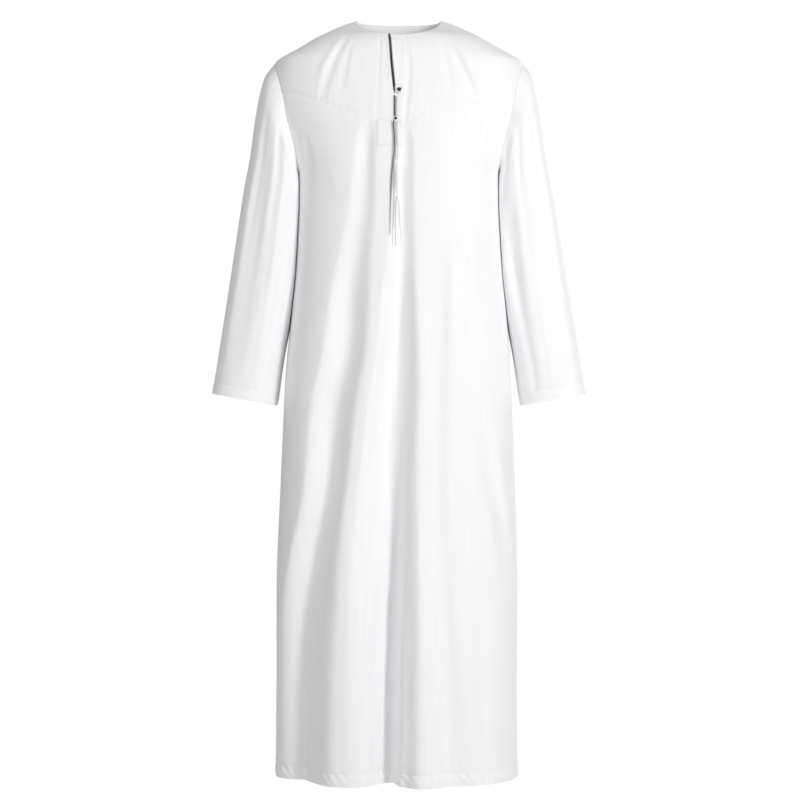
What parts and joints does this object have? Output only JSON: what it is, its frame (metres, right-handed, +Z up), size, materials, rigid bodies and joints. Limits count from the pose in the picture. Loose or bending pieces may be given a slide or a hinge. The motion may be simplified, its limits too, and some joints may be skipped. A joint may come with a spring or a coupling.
{
  "type": "thobe robe",
  "caption": "Ankle-length collarless robe with long set-in sleeves, V yoke seam, neck slit with loop and hanging cord tassel, kept in its worn hollow form.",
  "frame": {"origin": "midway between the wearer's shoulders where they carry the robe, 12 mm below the two points where the neckline meets the shoulder line", "axes": "+Z up, -Y out of the robe's front, +X to the wearer's left"},
  "size_m": [0.69, 0.3236, 1.3918],
  "materials": {
    "shirting": "smooth white poly-cotton shirting with a faint satin sheen and fine upright weave streaks",
    "turned_cloth": "the same white shirting turned up double and stitched, slightly puckered",
    "white_cord": "thin twisted white cord",
    "grey_cord": "thin twisted pale grey thread cord",
    "dark_cord": "thin twisted near-black cord"
  },
  "bodies": {
    "root": {"front_yoke_right": "shirting", "front_yoke_left": "shirting", "back_yoke": "shirting", "front_panel": "shirting", "back_panel": "shirting", "placket_right": "shirting", "placket_left": "shirting", "placket_end": "shirting", "gore_right": "shirting", "gore_left": "shirting", "hem_band": "turned_cloth", "neck_binding": "turned_cloth", "sleeve_right": "shirting", "cuff_band_right": "turned_cloth", "sleeve_left": "shirting", "cuff_band_left": "turned_cloth", "slit_cord": "dark_cord", "slit_piping": "white_cord", "button_loop": "white_cord", "tassel_cord_dark": "dark_cord", "tassel_cord_white": "grey_cord", "tassel_strand_dark": "dark_cord", "tassel_strand_white": "grey_cord", "tassel_fringe_long": "grey_cord", "tassel_fringe_middle": "white_cord", "tassel_fringe_short": "white_cord", "knot_button": "dark_cord", "tassel_knot": "dark_cord", "tassel_head": "grey_cord"}
  },
  "joints": []
}
